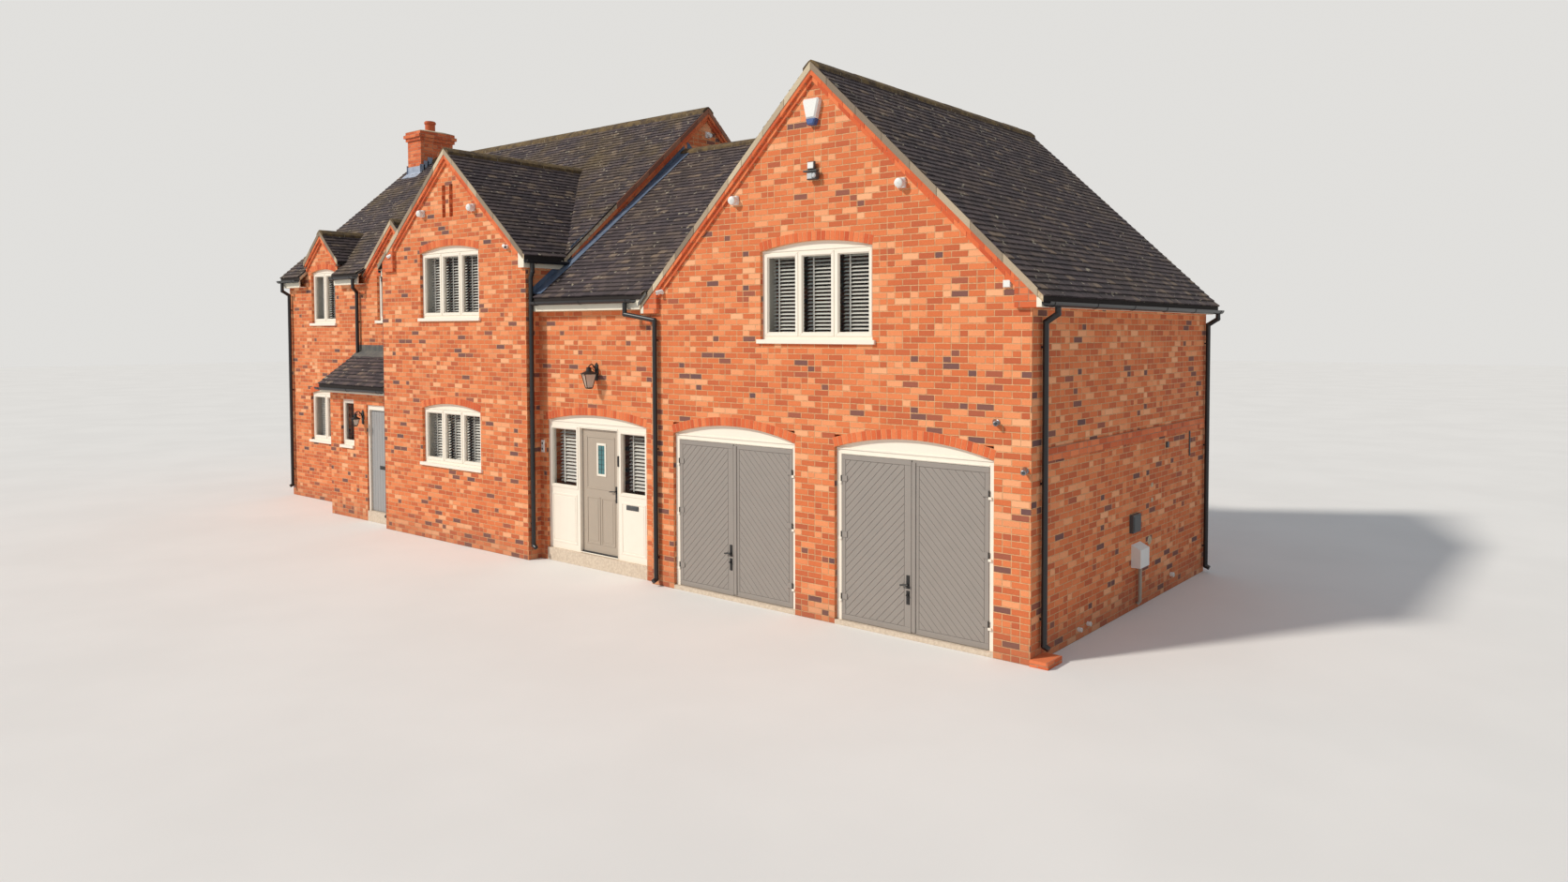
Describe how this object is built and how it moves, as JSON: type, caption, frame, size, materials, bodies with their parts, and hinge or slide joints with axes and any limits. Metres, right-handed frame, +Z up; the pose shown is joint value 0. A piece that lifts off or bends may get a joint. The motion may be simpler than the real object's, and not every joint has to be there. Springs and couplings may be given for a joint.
{
  "type": "detached house",
  "caption": "Two-storey brick house with a double garage wing, a lower link with the entrance, a gabled bay, a tiled porch and six hinged doors.",
  "frame": {"origin": "centre of the overall plan box at ground level", "axes": "+X along the front towards the garage end, +Y from the front to the back, +Z up"},
  "size_m": [19.214, 7.489, 8.78],
  "materials": {
    "brick": "matt fired clay brick with pale mortar joints",
    "dressing": "matt darker red clay brick",
    "roof_tile": "matt weathered plain clay tiles",
    "ridge_tile": "matt mossy ridge tiles",
    "concrete": "matt floated concrete",
    "floor_timber": "plain boards",
    "terracotta": "matt terracotta",
    "cream_paint": "cream paint on timber",
    "window_pane": "clear glass",
    "black_rainwater": "satin black",
    "black_metal": "satin black paint",
    "garage_grey": "mid grey paint on boards",
    "door_grey": "warm grey paint",
    "white_plastic": "white plastic"
  },
  "bodies": {
    "house": {"garage_piers": "brick", "garage_gable_wall": "brick", "garage_side_walls": "brick", "garage_rear_wall": "brick", "link_piers": "brick", "link_front_wall": "brick", "link_rear_wall": "brick", "bay_front_wall": "brick", "bay_left_wall": "brick", "house_right_wall": "brick", "main_front_wall": "brick", "house_left_wall": "brick", "house_rear_wall": "brick", "porch_piers": "brick", "porch_lintel": "brick", "ground_floors": "concrete", "first_floors": "floor_timber", "brick_arches": "dressing", "gable_corbels": "dressing", "string_course": "dressing", "corner_kerb": "dressing", "chimney_stack": "brick", "chimney_pot": "terracotta", "garage_roof": "roof_tile", "link_roof": "roof_tile", "main_roof": "roof_tile", "bay_roof": "roof_tile", "gablet_roofs": "roof_tile", "porch_roof": "roof_tile", "ridge_tiles": "ridge_tile", "fascias": "cream_paint", "rainwater_goods": "black_rainwater", "garage_door_frames": "cream_paint", "entrance_screen": "cream_paint", "porch_door_frame": "cream_paint", "window_frames": "cream_paint", "window_glass": "window_pane", "wall_lanterns": "black_metal", "wall_boxes": "white_plastic"},
    "garage_leaf_1_body": {"garage_leaf_1": "garage_grey"},
    "garage_leaf_2_body": {"garage_leaf_2": "garage_grey"},
    "garage_leaf_3_body": {"garage_leaf_3": "garage_grey"},
    "garage_leaf_4_body": {"garage_leaf_4": "garage_grey"},
    "front_door_body": {"front_door": "door_grey"},
    "porch_door_body": {"porch_door": "door_grey"}
  },
  "joints": [
    {"name": "garage_leaf_1_hinge", "type": "hinge", "parent": "house", "child": "garage_leaf_1_body", "pos_m": [3.778, -3.4675, 1.1], "axis": [0, 0, 1], "range_deg": [-95, 0]},
    {"name": "garage_leaf_2_hinge", "type": "hinge", "parent": "house", "child": "garage_leaf_2_body", "pos_m": [5.888, -3.4675, 1.1], "axis": [0, 0, 1], "range_deg": [0, 95]},
    {"name": "garage_leaf_3_hinge", "type": "hinge", "parent": "house", "child": "garage_leaf_3_body", "pos_m": [6.698, -3.4675, 1.1], "axis": [0, 0, 1], "range_deg": [-95, 0]},
    {"name": "garage_leaf_4_hinge", "type": "hinge", "parent": "house", "child": "garage_leaf_4_body", "pos_m": [8.808, -3.4675, 1.1], "axis": [0, 0, 1], "range_deg": [0, 95]},
    {"name": "front_door_hinge", "type": "hinge", "parent": "house", "child": "front_door_body", "pos_m": [1.433, -3.2615, 1.1], "axis": [0, 0, 1], "range_deg": [0, 90]},
    {"name": "porch_door_hinge", "type": "hinge", "parent": "house", "child": "porch_door_body", "pos_m": [-4.912, -3.3215, 1.1], "axis": [0, 0, 1], "range_deg": [0, 90]}
  ]
}
